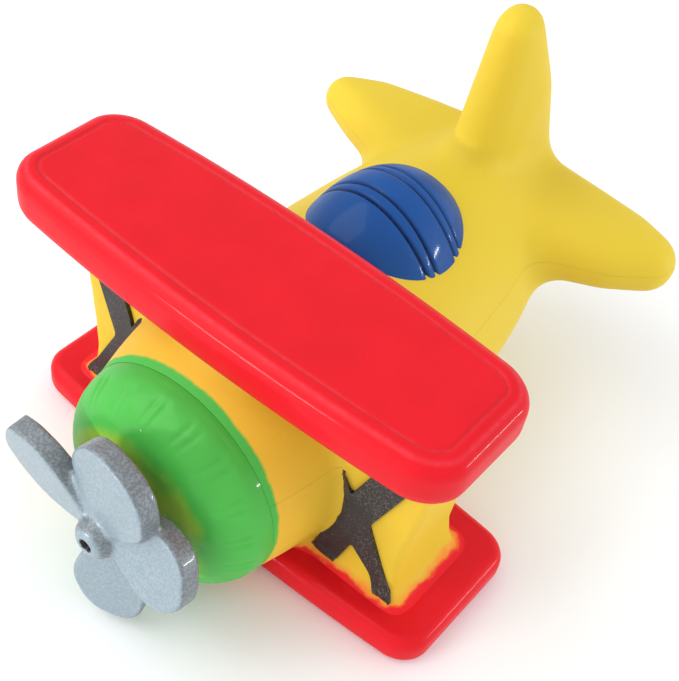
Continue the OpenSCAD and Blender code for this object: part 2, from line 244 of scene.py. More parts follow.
# %% Spray edge: a mask that rises across a place, softly and a little raggedly
spray_edge, edge_in, edge_out = new_group(
    "Spray edge",
    [("Vector", "NodeSocketVector", None), ("Place", "NodeSocketFloat", 0.0),
     ("Softness", "NodeSocketFloat", 0.001), ("Raggedness", "NodeSocketFloat", 0.001),
     ("Noise Size", "NodeSocketFloat", 300.0)],
    [("Mask", "NodeSocketFloat")],
)
rag = spray_edge.nodes.new("ShaderNodeTexNoise")
rag.inputs["Detail"].default_value = 3.0
spray_edge.links.new(edge_in.outputs["Vector"], rag.inputs["Vector"])
spray_edge.links.new(edge_in.outputs["Noise Size"], rag.inputs["Scale"])
push = add_math(spray_edge, "MULTIPLY", add_math(spray_edge, "SUBTRACT", rag.outputs["Fac"], 0.5),
                edge_in.outputs["Raggedness"])
moved = add_math(spray_edge, "ADD", edge_in.outputs["Place"], push)
half_soft = add_math(spray_edge, "MULTIPLY", edge_in.outputs["Softness"], 0.5)
minus_soft = add_math(spray_edge, "MULTIPLY", edge_in.outputs["Softness"], -0.5)
spray_edge.links.new(add_range(spray_edge, moved, minus_soft, half_soft), edge_out.inputs["Mask"])
print("group", spray_edge.name)

# %% Flake: fine light and dark grains in metallic and black paint
flake, flake_in, flake_out = new_group(
    "Paint flake",
    [("Vector", "NodeSocketVector", None), ("Grain Size", "NodeSocketFloat", 2600.0),
     ("Low", "NodeSocketFloat", 0.45), ("High", "NodeSocketFloat", 0.7)],
    [("Mask", "NodeSocketFloat")],
)
grains = flake.nodes.new("ShaderNodeTexNoise")
grains.inputs["Detail"].default_value = 2.0
flake.links.new(flake_in.outputs["Vector"], grains.inputs["Vector"])
flake.links.new(flake_in.outputs["Grain Size"], grains.inputs["Scale"])
flake.links.new(
    add_range(flake, grains.outputs["Fac"], flake_in.outputs["Low"], flake_in.outputs["High"]),
    flake_out.inputs["Mask"],
)
print("group", flake.name)


# %% Material helper
def new_material(name, roughness, coat=0.0, coat_roughness=0.1, soft=0.0, specular=0.5):
    """A Principled material. Returns it with its tree, shader and object coordinates."""
    material = bpy.data.materials.new(name)
    material.use_nodes = True
    tree = material.node_tree
    shader = tree.nodes["Principled BSDF"]
    shader.inputs["Roughness"].default_value = roughness
    shader.inputs["Coat Weight"].default_value = coat
    shader.inputs["Coat Roughness"].default_value = coat_roughness
    shader.inputs["Specular IOR Level"].default_value = specular
    shader.inputs["Subsurface Weight"].default_value = soft
    shader.inputs["Subsurface Radius"].default_value = (0.004, 0.003, 0.002)
    shader.inputs["Subsurface Scale"].default_value = 0.3
    place = tree.nodes.new("ShaderNodeTexCoord").outputs["Object"]
    return material, tree, shader, place


def use_group(tree, group, place, **values):
    """Place a group, feed it object coordinates and set its numbers or sockets."""
    node = tree.nodes.new("ShaderNodeGroup")
    node.node_tree = group
    tree.links.new(place, node.inputs["Vector"])
    for label, value in values.items():
        socket = node.inputs[label.replace("_", " ")]
        if hasattr(value, "is_linked"):
            tree.links.new(value, socket)
        else:
            socket.default_value = value
    return node


def add_bump(tree, shader, height, depth):
    """Bump the surface by a height socket, depth in metres."""
    node = tree.nodes.new("ShaderNodeBump")
    node.inputs["Strength"].default_value = 1.0
    node.inputs["Distance"].default_value = depth
    tree.links.new(height, node.inputs["Height"])
    tree.links.new(node.outputs["Normal"], shader.inputs["Normal"])
    return node


def split(tree, place):
    """X, Y and Z of a vector."""
    node = tree.nodes.new("ShaderNodeSeparateXYZ")
    tree.links.new(place, node.inputs[0])
    return node.outputs["X"], node.outputs["Y"], node.outputs["Z"]


# %% [markdown]
# ## The finishes
#
# Yellow is the bare vinyl: satin, a little translucent, warmer towards the nose and next
# to the other colours, where the sprays have drifted, and a little green lies on it behind
# the top of the cowling. Red and green are glossy sprays, and the green thins to
# yellow-green at its edges. The moulded line round the upper wing's top is painted a
# lighter pink in a fine speckle, a painted highlight. The canopy is a glossy blue, its
# grooves painted near black as painted shade. The propeller carries a metallic grey-blue
# with a grain. It is painted lighter on its front faces as painted light, and darker and
# grainier on its thick rims as painted shade, and the hole in its boss is painted black
# as painted shade. The cross braces are a dusty black.

# %% Yellow vinyl
YELLOW = (0.74, 0.48, 0.033)
YELLOW_GREEN = (0.69, 0.51, 0.036)
WARM_YELLOW = (0.76, 0.45, 0.035)
GREEN = (0.07, 0.44, 0.065)
ORANGE = (0.84, 0.24, 0.02)
DEEP_RED = (0.80, 0.011, 0.02)

yellow, tree, shader, place = new_material("yellow_vinyl", roughness=0.55, soft=0.1, specular=0.2)
skin = use_group(tree, cast_skin, place, Wave_Size=70.0, Peel_Size=1400.0, Peel_Share=0.08)
x, y, z = split(tree, place)
nose_side = add_range(tree, y, 0.02, -0.02)
base = add_mix(tree, nose_side, YELLOW_GREEN, YELLOW)
near_cowl = add_range(tree, y, -0.012, cowl_high.y * MM)
base = add_mix(tree, near_cowl, base, WARM_YELLOW)
foot_height = add_math(tree, "SUBTRACT", (FOOT_TOP + 1.1) * MM, z)
foot_glow = use_group(tree, spray_edge, place, Place=foot_height, Softness=0.0022, Raggedness=0.003)
beside = add_range(tree, add_math(tree, "ABSOLUTE", x), 0.012, 0.017)
wing_span = add_range(tree, add_math(tree, "ABSOLUTE", y), 0.017, 0.014)
footprint = add_math(tree, "MULTIPLY", beside, wing_span)
near_foot = add_math(tree, "MULTIPLY", foot_glow.outputs["Mask"], footprint)
base = add_mix(tree, near_foot, base, ORANGE)
foot_line = add_math(tree, "SUBTRACT", (FOOT_TOP + 0.45) * MM, z)
red_edge = use_group(tree, spray_edge, place, Place=foot_line, Softness=0.0005, Raggedness=0.0016,
                     Noise_Size=420.0)
red_foot = add_math(tree, "MULTIPLY", red_edge.outputs["Mask"], footprint)
base = add_mix(tree, red_foot, base, DEEP_RED)
reach = add_math(tree, "MULTIPLY", add_range(tree, z, 0.006, 0.036), 0.0016)
behind = add_math(tree, "SUBTRACT", add_math(tree, "ADD", reach, (cowl_high.y - 0.3) * MM), y)
drift = use_group(tree, spray_edge, place, Place=behind, Softness=0.0006, Raggedness=0.0008)
base = add_mix(tree, drift.outputs["Mask"], base, GREEN)
tree.links.new(base, shader.inputs["Base Color"])
add_bump(tree, shader, skin.outputs["Height"], 0.00025)
print("material", yellow.name)

# %% Red spray
RED = (0.70, 0.0075, 0.017)
RED_DARK = (0.66, 0.007, 0.015)
RED_LINE_HIGHLIGHT = (0.72, 0.032, 0.05)

red, tree, shader, place = new_material("red_vinyl", roughness=0.5, coat=0.14, coat_roughness=0.1,
                                        specular=0.08)
skin = use_group(tree, cast_skin, place, Wave_Size=110.0, Peel_Size=1100.0, Peel_Share=0.12)
base = add_mix(tree, skin.outputs["Blotch"], RED, RED_DARK)
# The moulded line is painted a lighter pink in a fine speckle: a painted highlight where its edges catch
# the light.
line = tree.nodes.new("ShaderNodeAttribute")
line.attribute_name = "line"
speck = use_group(tree, flake, place, Grain_Size=900.0, Low=0.45, High=0.6)
highlight_speckle = add_range(tree, speck.outputs["Mask"], -1.5, 1.0)
painted_line_highlight = add_math(tree, "MULTIPLY", line.outputs["Fac"], highlight_speckle)
base = add_mix(tree, painted_line_highlight, base, RED_LINE_HIGHLIGHT)
tree.links.new(base, shader.inputs["Base Color"])
add_bump(tree, shader, skin.outputs["Height"], 0.0004)
print("material", red.name)

# %% Green spray
LIME = (0.40, 0.62, 0.05)

green, tree, shader, place = new_material("green_vinyl", roughness=0.5, coat=0.2, coat_roughness=0.08,
                                          specular=0.1)
skin = use_group(tree, cast_skin, place, Wave_Size=130.0, Peel_Size=700.0, Peel_Share=0.1)
x, y, z = split(tree, place)
front = add_math(tree, "SUBTRACT", (cowl_low.y + 0.2) * MM, y)
front_edge = use_group(tree, spray_edge, place, Place=front, Softness=0.0016, Raggedness=0.003,
                       Noise_Size=120.0)
base = add_mix(tree, front_edge.outputs["Mask"], GREEN, LIME)
upward = add_math(tree, "MULTIPLY", add_range(tree, z, 0.010, 0.040), -0.0015)
back = add_math(tree, "ADD", add_math(tree, "SUBTRACT", y, (cowl_high.y - 0.3) * MM), upward)
back_edge = use_group(tree, spray_edge, place, Place=back, Softness=0.0007, Raggedness=0.0008)
base = add_mix(tree, back_edge.outputs["Mask"], base, WARM_YELLOW)
tree.links.new(base, shader.inputs["Base Color"])
add_bump(tree, shader, skin.outputs["Height"], 0.0005)
print("material", green.name)

# %% Blue canopy
BLUE = (0.006, 0.068, 0.27)
GROOVE_SHADE_BLUE = (0.002, 0.004, 0.02)

blue, tree, shader, place = new_material("blue_canopy", roughness=0.5, coat=0.2, coat_roughness=0.1,
                                         specular=0.1)
skin = use_group(tree, cast_skin, place, Wave_Size=160.0, Peel_Size=1200.0, Peel_Share=0.1)
groove = tree.nodes.new("ShaderNodeAttribute")
groove.attribute_name = "groove"
# The grooves are painted near black as painted shade.
base = add_mix(tree, groove.outputs["Fac"], BLUE, GROOVE_SHADE_BLUE)
tree.links.new(base, shader.inputs["Base Color"])
add_bump(tree, shader, skin.outputs["Height"], 0.0003)
print("material", blue.name)

# %% Propeller paint
LIT_FACE_BLUE = (0.26, 0.33, 0.375)
SHADED_RIM_GREY = (0.15, 0.18, 0.195)

prop_paint, tree, shader, place = new_material("propeller_paint", roughness=0.45, coat=0.35,
                                               coat_roughness=0.1, specular=0.3)
shader.inputs["Metallic"].default_value = 0.25
grain = use_group(tree, flake, place, Grain_Size=2400.0, Low=0.42, High=0.62)
facing = tree.nodes.new("ShaderNodeAttribute")
facing.attribute_name = "front"
# The rims are painted darker as painted shade and the front faces lighter as painted light; the grain is
# the paint's own.
rim = add_mix(tree, grain.outputs["Mask"], SHADED_RIM_GREY, (0.22, 0.255, 0.28))
lit_face = add_mix(tree, grain.outputs["Mask"], LIT_FACE_BLUE, (0.31, 0.385, 0.43))
base = add_mix(tree, facing.outputs["Fac"], rim, lit_face)
# The hole in the boss is painted black as painted shade.
hole = tree.nodes.new("ShaderNodeAttribute")
hole.attribute_name = "hole"
base = add_mix(tree, hole.outputs["Fac"], base, (0.004, 0.004, 0.004))
tree.links.new(base, shader.inputs["Base Color"])
skin = use_group(tree, cast_skin, place, Wave_Size=220.0, Peel_Size=2000.0, Peel_Share=0.2)
add_bump(tree, shader, skin.outputs["Height"], 0.0003)
print("material", prop_paint.name)

# %% Black brace paint
black, tree, shader, place = new_material("black_brace", roughness=0.45, specular=0.4)
grain = use_group(tree, flake, place, Grain_Size=2800.0, Low=0.5, High=0.72)
dust = add_noise(tree, place, 120.0)
dusty = add_math(tree, "MULTIPLY", grain.outputs["Mask"], add_range(tree, dust, 0.3, 0.65))
base = add_mix(tree, dusty, (0.022, 0.021, 0.022), (0.15, 0.14, 0.13))
tree.links.new(base, shader.inputs["Base Color"])
add_bump(tree, shader, grain.outputs["Mask"], 0.00008)
print("material", black.name)

# %% Steel and plain white plastic, for the pieces inside
steel, tree, shader, place = new_material("steel_pin", roughness=0.35)
shader.inputs["Metallic"].default_value = 1.0
drawn = add_noise(tree, place, 900.0)
base = add_mix(tree, drawn, (0.05, 0.05, 0.055), (0.12, 0.12, 0.13))
tree.links.new(base, shader.inputs["Base Color"])

white, tree, shader, place = new_material("white_plastic", roughness=0.5)
cloud = add_noise(tree, place, 300.0)
base = add_mix(tree, cloud, (0.72, 0.71, 0.67), (0.82, 0.81, 0.78))
tree.links.new(base, shader.inputs["Base Color"])
add_bump(tree, shader, cloud, 0.0001)
print("materials", steel.name, white.name)

# %% [markdown]
# ## The yellow skin
#
# On the real toy the body, the tail lobes and the strut blocks flow into each other.
# Modelling those fillets by hand is slow. Here the simple forms are laid over each other,
# merged by a voxel remesh, and then *closed*: the surface is pushed out along its
# normals, merged again, and pulled back by the same distance. Outward corners come back
# where they were, and inward corners keep a round fillet of that distance. Two slabs
# stand in for the wings while this is done, so that the blocks flare onto them, and are
# cut away afterwards.

# %% The body, ring by ring
# Each row: place along the toy, centre height, half width, rise above and drop below.
BODY_RINGS = [
    (-24.5, 22.0, 18.9, 18.9, 18.9),
    (-22.5, 22.0, 19.4, 19.4, 19.4),
    (-16.0, 22.0, 20.9, 22.5, 20.3),
    (-7.0, 22.2, 22.0, 24.8, 20.9),
    (5.0, 22.6, 22.8, 24.4, 21.3),
    (19.0, 23.4, 23.2, 22.8, 21.8),
    (31.0, 24.4, 22.3, 21.6, 21.4),
    (42.0, 25.8, 20.4, 19.8, 19.9),
    (52.0, 27.4, 17.4, 17.2, 17.2),
    (62.0, 29.6, 13.2, 13.4, 13.2),
    (69.0, 31.2, 8.8, 9.2, 9.0),
    (73.0, 32.0, 3.2, 3.6, 3.6),
]


def between(rows, i, t):
    """Smooth row between rows i and i + 1, by Catmull-Rom."""
    a, b, c, d = (rows[max(0, min(len(rows) - 1, i + k))] for k in (-1, 0, 1, 2))
    return [
        q + 0.5 * t * (r - p + t * (2 * p - 5 * q + 4 * r - s + t * (3 * (q - r) + s - p)))
        for p, q, r, s in zip(a, b, c, d)
    ]


def loft_body(bm):
    """Grow the body from a disc at the nose, one extruded ring after another."""
    rows = [between(BODY_RINGS, i, t / 3) for i in range(len(BODY_RINGS) - 1) for t in range(3)]
    rows.append(BODY_RINGS[-1])
    upright = Matrix.Rotation(math.pi / 2, 4, "X")
    ring = bmesh.ops.create_circle(bm, cap_ends=True, segments=72, radius=1, matrix=upright)["verts"]
    before = (0, 0, 1, 1, 1)
    for row in rows:
        if before[2] != 1:
            edges = {e for v in ring for e in v.link_edges if e.other_vert(v) in ring}
            grown = bmesh.ops.extrude_edge_only(bm, edges=list(edges))["geom"]
            ring = {g for g in grown if isinstance(g, bmesh.types.BMVert)}
        for v in ring:
            high = v.co.z - before[1]
            ratio = row[3] / before[3] if high >= 0 else row[4] / before[4]
            v.co = Vector((v.co.x * row[2] / before[2], row[0], row[1] + high * ratio))
        before = row
    bmesh.ops.contextual_create(bm, geom=[e for e in bm.edges if e.is_boundary])


# %% Lobes, blocks and the slabs that stand in for the wings
def ball_hull(bm, balls):
    """The tight skin round a few balls, each given as x, y, z and radius."""
    points = []
    for bx, by, bz, r in balls:
        at = Matrix.Translation((bx, by, bz))
        points += bmesh.ops.create_uvsphere(bm, u_segments=32, v_segments=20, radius=r, matrix=at)["verts"]
    bmesh.ops.convex_hull(bm, input=points)


BLOCK_FRONT = corners("strut_block_port")[0].y
BLOCK_BACK = corners("strut_block_port")[1].y
BLOCK_HEAD_BACK = BLOCK_FRONT + 13
BLOCK_WAIST_X = 33.5
BLOCK_FOOT_X = 36.0
BLOCK_HEAD_X = 38.6
BLOCK_ROOT_X = corners("strut_block_port")[0].x


def block_prism(bm, side):
    """A strut block: its front view, extruded back and leaned forward at the head."""
    low, high = FOOT_TOP - 2, WING_UNDER + 2
    steps = 14
    outline = [bm.verts.new((side * 10, BLOCK_FRONT, low))]
    for k in range(steps + 1):
        u = k / steps
        foot = max(0.0, 1 - u / 0.25) ** 2
        head = max(0.0, (u - 0.2) / 0.8) ** 1.3
        edge = BLOCK_WAIST_X + (BLOCK_FOOT_X - BLOCK_WAIST_X) * foot + (BLOCK_HEAD_X - BLOCK_WAIST_X) * head
        outline.append(bm.verts.new((side * edge, BLOCK_FRONT, low + (high - low) * u)))
    outline.append(bm.verts.new((side * 10, BLOCK_FRONT, high)))
    grown = bmesh.ops.extrude_face_region(bm, geom=[bm.faces.new(outline)])["geom"]
    for v in (g for g in grown if isinstance(g, bmesh.types.BMVert)):
        lean = (v.co.z - low) / (high - low)
        v.co.y = BLOCK_BACK + (BLOCK_HEAD_BACK - BLOCK_BACK) * lean


def slab(bm, low, high):
    """A plain oblong between two corners."""
    size = high - low
    at = Matrix.Translation((low + high) / 2) @ Matrix.Diagonal((*size, 1))
    bmesh.ops.create_cube(bm, size=1, matrix=at)


# Balls inside the fin, as place along the toy, height and radius.
FIN_BALLS = [(50.5, 43, 5.6), (66, 38, 5.7), (52, 57, 4.6), (58, 56, 6), (52.2, 69, 3.7), (53.8, 69.2, 3.9)]
# Balls inside each tailplane lobe, with the distance out first. The two lobes differ a little.
PORT_BALLS = [(6, 49, 34, 6.5), (6, 63.3, 34, 6.2), (18, 52, 34.4, 6), (18, 62.3, 34.4, 6),
              (27, 55.4, 34.8, 5.3), (27, 62.1, 34.8, 5.3), (32.3, 60, 35, 5.4)]
STARBOARD_BALLS = [(6, 49, 34, 6.5), (6, 63.3, 34, 6.2), (18, 52, 34.4, 5.9), (18, 60.5, 34.4, 5.9),
                   (27, 54.3, 34.8, 5.2), (27, 58.6, 34.8, 5.2), (33.1, 56, 35, 4.3)]
skin_mesh = bmesh.new()
loft_body(skin_mesh)
ball_hull(skin_mesh, [(0, *ball) for ball in FIN_BALLS])
for side, balls in ((1, PORT_BALLS), (-1, STARBOARD_BALLS)):
    ball_hull(skin_mesh, [(side * bx, *rest) for bx, *rest in balls])
    block_prism(skin_mesh, side)
slab(skin_mesh, Vector((-40, -12.5, 1.8)), Vector((40, 12, FOOT_TOP - 0.1)))
slab(skin_mesh, Vector((-39.5, -18.5, WING_UNDER + 0.1)), Vector((39.5, 2.5, WING_UNDER + 6)))
outward(skin_mesh)
print("overlaid forms:", len(skin_mesh.faces), "faces")

# %% Merge, close and smooth
def remesh(bm, voxel, smoothing):
    """Merge everything in a bmesh into one even skin, and relax it a little."""
    form = to_object(bm, "forms")
    merged = form.modifiers.new("merge", "REMESH")
    merged.mode = "VOXEL"
    merged.voxel_size = voxel
    relaxed = form.modifiers.new("relax", "SMOOTH")
    relaxed.factor = 0.5
    relaxed.iterations = smoothing
    return to_bmesh(form)


def swell(bm, radius_at, sign):
    """Push every point along its normal by the fillet radius wanted there."""
    bm.normal_update()
    for v in bm.verts:
        v.co += v.normal * radius_at(v.co) * sign


def merge_forms(bm, voxel, radius_at, smoothing):
    """Voxel merge, then close the inside corners to round fillets."""
    bm = remesh(bm, voxel, 3)
    swell(bm, radius_at, 1)
    bm = remesh(bm, voxel, 3)
    swell(bm, radius_at, -1)
    return remesh(bm, voxel, smoothing)


def skin_fillet(co):
    """Fillets are small round the strut blocks and wide at the tail."""
    t = min(1.0, max(0.0, (co.y - 12) / 16))
    return 1.3 + 2.6 * t * t * (3 - 2 * t)


VOXEL = 0.7
skin_mesh = merge_forms(skin_mesh, VOXEL, skin_fillet, 8)
print("merged skin:", len(skin_mesh.faces), "faces")

# %% Cut away the stand-in slabs and open the nose
def slice_mesh(bm, point, normal, clear=False):
    """Cut along a plane. With clear, what lies on the normal's side is removed."""
    everything = bm.verts[:] + bm.edges[:] + bm.faces[:]
    bmesh.ops.bisect_plane(bm, geom=everything, dist=1e-5, plane_co=point, plane_no=normal,
                           clear_outer=clear)


def drop_faces(bm, test):
    """Remove every face whose centre passes the test."""
    gone = [f for f in bm.faces if test(f.calc_center_median())]
    bmesh.ops.delete(bm, geom=gone, context="FACES")


slice_mesh(skin_mesh, (0, cowl_high.y, 0), (0, -1, 0), clear=True)
slice_mesh(skin_mesh, (0, 0, FOOT_TOP - 0.05), (0, 0, -1))
slice_mesh(skin_mesh, (0, 0, WING_UNDER + 0.05), (0, 0, 1))
drop_faces(skin_mesh, lambda c: c.z < FOOT_TOP - 0.05 and -12.8 < c.y < 12.4)
drop_faces(skin_mesh, lambda c: c.z > WING_UNDER + 0.05 and c.y < 4.5)
print("open skin:", len(skin_mesh.faces), "faces")

# %% [markdown]
# ## Parting the skin
#
# The skin is parted where the moulds part: along the seam that runs down the body's side
# to the tailplane, and at the roots of the strut blocks. Each part then gets the wall
# thickness of the real casting, so every piece is a closed shell.

# %% Shells and blocks
SEAM_Z = 31.5
SEAM_SLOPE = 0.08
SEAM_GAP = 0.015
WALL = 2.0
TAIL_START_Y = 20

seam_normal = Vector((0, -SEAM_SLOPE, 1)).normalized()
slice_mesh(skin_mesh, (BLOCK_ROOT_X, 0, 0), (1, 0, 0))
slice_mesh(skin_mesh, (-BLOCK_ROOT_X, 0, 0), (1, 0, 0))


def is_block(c, side):
    return side * c.x > BLOCK_ROOT_X and c.y < TAIL_START_Y


def thicken(bm, wall):
    """Give an open surface a wall on its inner side."""
    shell = to_object(bm, "shell")
    solid = shell.modifiers.new("wall", "SOLIDIFY")
    solid.thickness = wall
    solid.offset = -1
    return to_bmesh(shell)


upper = skin_mesh.copy()
drop_faces(upper, lambda c: is_block(c, 1) or is_block(c, -1))
lower = upper.copy()
slice_mesh(upper, Vector((0, 0, SEAM_Z + SEAM_GAP)), -seam_normal, clear=True)
slice_mesh(lower, Vector((0, 0, SEAM_Z - SEAM_GAP)), seam_normal, clear=True)
finish_piece(thicken(upper, WALL), "upper_body_casting", ["fuselage_upper_shell"], yellow)
finish_piece(thicken(lower, WALL), "lower_body_casting", ["fuselage_lower_shell"], yellow)
for side, name in ((1, "port"), (-1, "starboard")):
    block = skin_mesh.copy()
    drop_faces(block, lambda c: not is_block(c, side))
    finish_piece(thicken(block, WALL), f"{name}_block_casting", [f"strut_block_{name}"], yellow)
skin_tree = BVHTree.FromBMesh(skin_mesh)
skin_mesh.free()

# %% [markdown]
# ## The wings
#
# A wing starts as a cube. It is cut across its span so that it can bow, its upright
# corners are bevelled, and then its top and bottom edges are rounded. The upper wing has
# a fine moulded line round its top, made by a few insets, the middle one sunk.

# %% A slab wing
def along_z(edge):
    a, b = edge.verts
    return abs(a.co.z - b.co.z) > 1


def slab_wing(low, high, corner, bow, top_edge, low_edge):
    """An oblong with bowed long sides, round corners and rounded edges."""
    bm = bmesh.new()
    slab(bm, low, high)
    middle = (low + high) / 2
    half = (high - low) / 2
    uprights = [e for e in bm.edges if along_z(e)]
    bmesh.ops.bevel(bm, geom=uprights, affect="EDGES", offset=corner, segments=12, profile=0.5, material=-1)
    for cut in range(1, 24):
        at = low.x + corner + (half.x - corner) * 2 * cut / 24
        slice_mesh(bm, (at, 0, 0), (1, 0, 0))
    tip_half = half.y - bow
    for v in bm.verts:
        across = (v.co.y - middle.y) / half.y * tip_half
        bulge = 1 + bow * (1 - (v.co.x / half.x) ** 2) / tip_half
        v.co.y = middle.y + across * bulge
    for level, size in ((low.z, low_edge), (high.z, top_edge)):
        rim = [e for e in bm.edges
               if abs(e.verts[0].co.z - level) < 0.01 and abs(e.verts[1].co.z - level) < 0.01
               and any(abs(f.normal.z) < 0.5 for f in e.link_faces)]
        bmesh.ops.bevel(bm, geom=rim, affect="EDGES", offset=size, segments=7, profile=0.5, material=-1)
        bm.normal_update()
    return bm


def top_faces(bm, level):
    return [f for f in bm.faces if f.normal.z > 0.99 and abs(f.calc_center_median().z - level) < 0.02]


# %% Upper wing, with its moulded line
CHORD_BOW = 2.1
upper_wing = slab_wing(wing_low, wing_high, 6.8, CHORD_BOW, 2.8, 3.2)
panel = top_faces(upper_wing, wing_high.z)
for width, drop in ((0.35, 0), (0.25, -0.3), (0.12, 0), (0.25, 0.28), (0.4, 0)):
    bmesh.ops.inset_region(upper_wing, faces=panel, thickness=width, depth=drop, use_even_offset=True)
outward(upper_wing)
# Mark the moulded line's points; the red paint puts a painted highlight on them.
sunk = upper_wing.verts.layers.float.new("line")
for v in upper_wing.verts:
    below_top = -0.4 < v.co.z - wing_high.z < -0.1
    v[sunk] = 1.0 if below_top and all(f.normal.z > 0.2 for f in v.link_faces) else 0.0
finish_piece(upper_wing, "upper_wing_casting", ["upper_wing"], red, crease=60)

# %% Lower wing
lower_wing = slab_wing(foot_low, foot_high, 5.2, CHORD_BOW, 2.2, 2.2)
outward(lower_wing)
finish_piece(lower_wing, "lower_wing_casting", ["lower_wing"], red, crease=60)

# %% [markdown]
# ## The engine cowling
#
# The cowling is turned: its side, round shoulder and flat front are one profile, spun
# about the propeller axis. Round its rear runs a ring of moulded cylinder heads, each a
# pair of short grooves with soft lips. They are pressed into the fine mesh by moving
# its points along the radius, as a sculptor would.

# %% Cowling
SHOULDER = 8.5
CYLINDERS = 18
FIRST_CYLINDER = math.radians(54)
GROOVE_Y = (cowl_high.y - 8.2, cowl_high.y - 2.6)


def cowl_profile():
    """Points from the rear rim to the middle of the front, as radius and place."""
    points = [(COWL_R - WALL, cowl_high.y), (COWL_R, cowl_high.y)]
    straight = cowl_high.y - (cowl_low.y + SHOULDER)
    points += [(COWL_R, cowl_high.y - straight * k / 16) for k in range(1, 17)]
    for k in range(1, 31):
        a = math.pi / 2 * k / 30
        points.append((COWL_R - SHOULDER * (1 - math.cos(a)), cowl_low.y + SHOULDER * (1 - math.sin(a))))
    points += [(r, cowl_low.y) for r in (8.0, 5.5, 2.7)]
    points += [(2.7, cowl_low.y + WALL), (COWL_R - SHOULDER, cowl_low.y + WALL)]
    for k in range(6, 0, -1):
        a = math.pi / 2 * k / 6
        points.append((COWL_R - SHOULDER + (SHOULDER - WALL) * math.cos(a),
                       cowl_low.y + SHOULDER - (SHOULDER - WALL) * math.sin(a)))
    return points


def cylinder_marks(angle, along):
    """Radial push of the moulded cylinder heads at an angle and a place."""
    step = math.tau / CYLINDERS
    nearest = round((angle - FIRST_CYLINDER) / step)
    off = (angle - FIRST_CYLINDER - nearest * step) * COWL_R
    vary = noise.noise(Vector((nearest * 3.7, 1.3, 0.0)))
    start, end = GROOVE_Y[0] + 1.5 * vary, GROOVE_Y[1] + vary
    inside = min(1.0, max(0.0, (along - start) / 1.2)) * min(1.0, max(0.0, (end - along) / 1.2))
    slant = 0.12 * (along - start)
    push = 0.0
    for groove_at in (-0.9, 0.9 + 0.3 * vary):
        d = off - groove_at + slant
        push -= 0.34 * math.exp(-(d / 0.42) ** 2)
    return push * inside


cowl = bmesh.new()
profile = [cowl.verts.new((r, along, AXIS_Z)) for r, along in cowl_profile()]
wire = [cowl.edges.new(pair) for pair in zip(profile, profile[1:] + profile[:1])]
bmesh.ops.spin(cowl, geom=profile + wire, cent=(0, 0, AXIS_Z), axis=(0, 1, 0), angle=math.tau,
               steps=360, use_merge=True)
outward(cowl)
for v in cowl.verts:
    out = Vector((v.co.x, 0, v.co.z - AXIS_Z))
    if out.length > COWL_R - 4 and v.co.y < cowl_high.y - 0.8:
        angle = math.atan2(out.z, out.x)
        dent = cylinder_marks(angle, v.co.y)
        slow = 0.12 * noise.noise(Vector((v.co.x, v.co.y * 1.5, v.co.z)) * 0.16)
        depth = min(1.0, (out.length - COWL_R + 4) / 3)
        v.co += out.normalized() * min(0.0, dent + slow - 0.06) * depth
finish_piece(cowl, "cowling_casting", ["engine_cowling"], green, crease=60)

# %% [markdown]
# ## The canopy
#
# The canopy is the top of an egg that sits mostly inside the body. Two raised bows cross
# it, each between a pair of fine grooves. The egg is sliced along each groove's
# plane, which lays clean edge loops there, and those loops are pressed in. The grooves
# are also painted near black, as painted shade.

# %% Canopy
CANOPY_X = -0.25
CANOPY_Y = 24.0
CANOPY_Z = 20.0
CANOPY_HALF = Vector((17.4, 21.6, 33.2))
CANOPY_BASE = 38.0
# Each groove: where it crosses at z = 44, how it leans forward with height, and its skew.
GROOVES = [(20.6, -0.22, -0.05), (22.2, -0.15, -0.02), (27.4, -0.18, 0.0), (28.9, -0.13, 0.03)]
GROOVE_HALF = 0.28
GROOVE_DEPTH = 0.45


def groove_plane(groove, shift=0.0):
    at, lean, skew = groove
    return Vector((0, at + shift, 44)), Vector((-skew, 1, -lean)).normalized()


canopy = bmesh.new()
egg = Matrix.Translation((CANOPY_X, CANOPY_Y, CANOPY_Z)) @ Matrix.Diagonal((*CANOPY_HALF, 1))
bmesh.ops.create_uvsphere(canopy, u_segments=144, v_segments=120, radius=1, matrix=egg)
slice_mesh(canopy, (0, 0, CANOPY_BASE), (0, 0, -1), clear=True)
for groove in GROOVES:
    for shift in (-2.2, -1.3, -0.6, -1, 0, 1, 0.6, 1.3, 2.2):
        point, normal = groove_plane(groove, shift * GROOVE_HALF)
        slice_mesh(canopy, point, normal)
floor_edges = [e for e in canopy.edges if e.is_boundary]
bmesh.ops.contextual_create(canopy, geom=floor_edges)
outward(canopy)
groove_shade = canopy.verts.layers.float.new("groove")
for v in canopy.verts:
    if v.co.z < CANOPY_BASE + 0.01:
        continue
    press = 0.0
    for groove in GROOVES:
        point, normal = groove_plane(groove)
        d = (v.co - point).dot(normal)
        press = max(press, math.exp(-((d / GROOVE_HALF) ** 2)))
    inward_way = Vector(((v.co.x - CANOPY_X) / CANOPY_HALF.x ** 2, (v.co.y - CANOPY_Y) / CANOPY_HALF.y ** 2,
                         (v.co.z - CANOPY_Z) / CANOPY_HALF.z ** 2)).normalized()
    v.co -= inward_way * GROOVE_DEPTH * press
    # Painted shade: this mask darkens the pressed grooves to near black.
    v[groove_shade] = press ** 2
finish_piece(canopy, "canopy_dome", ["canopy"], blue, crease=70)

# %% [markdown]
# ## The cross braces
#
# Each strut block carries a black X on its front, cast proud of the block. Its outline
# is drawn once, with the widening where the arms cross, then extruded and its edges
# rounded. The starboard one is its mirror image.

# %% Cross braces
# Outline in the front view: x from the centre line and height, clockwise from top left.
BRACE_OUTLINE = [
    (15.7, 40.0), (23.5, 26.1), (31.2, 46.4), (37.0, 46.4), (27.6, 21.4), (34.8, 6.6), (34.0, 6.2),
    (31.5, 6.5), (29.8, 10.6), (25.4, 14.5), (22.6, 5.4), (17.4, 4.6), (22.2, 20.5), (12.4, 38.0),
]
BRACE_PROUD = 0.7
BRACE_SUNK = 0.5
BRACE_GRID = 0.6


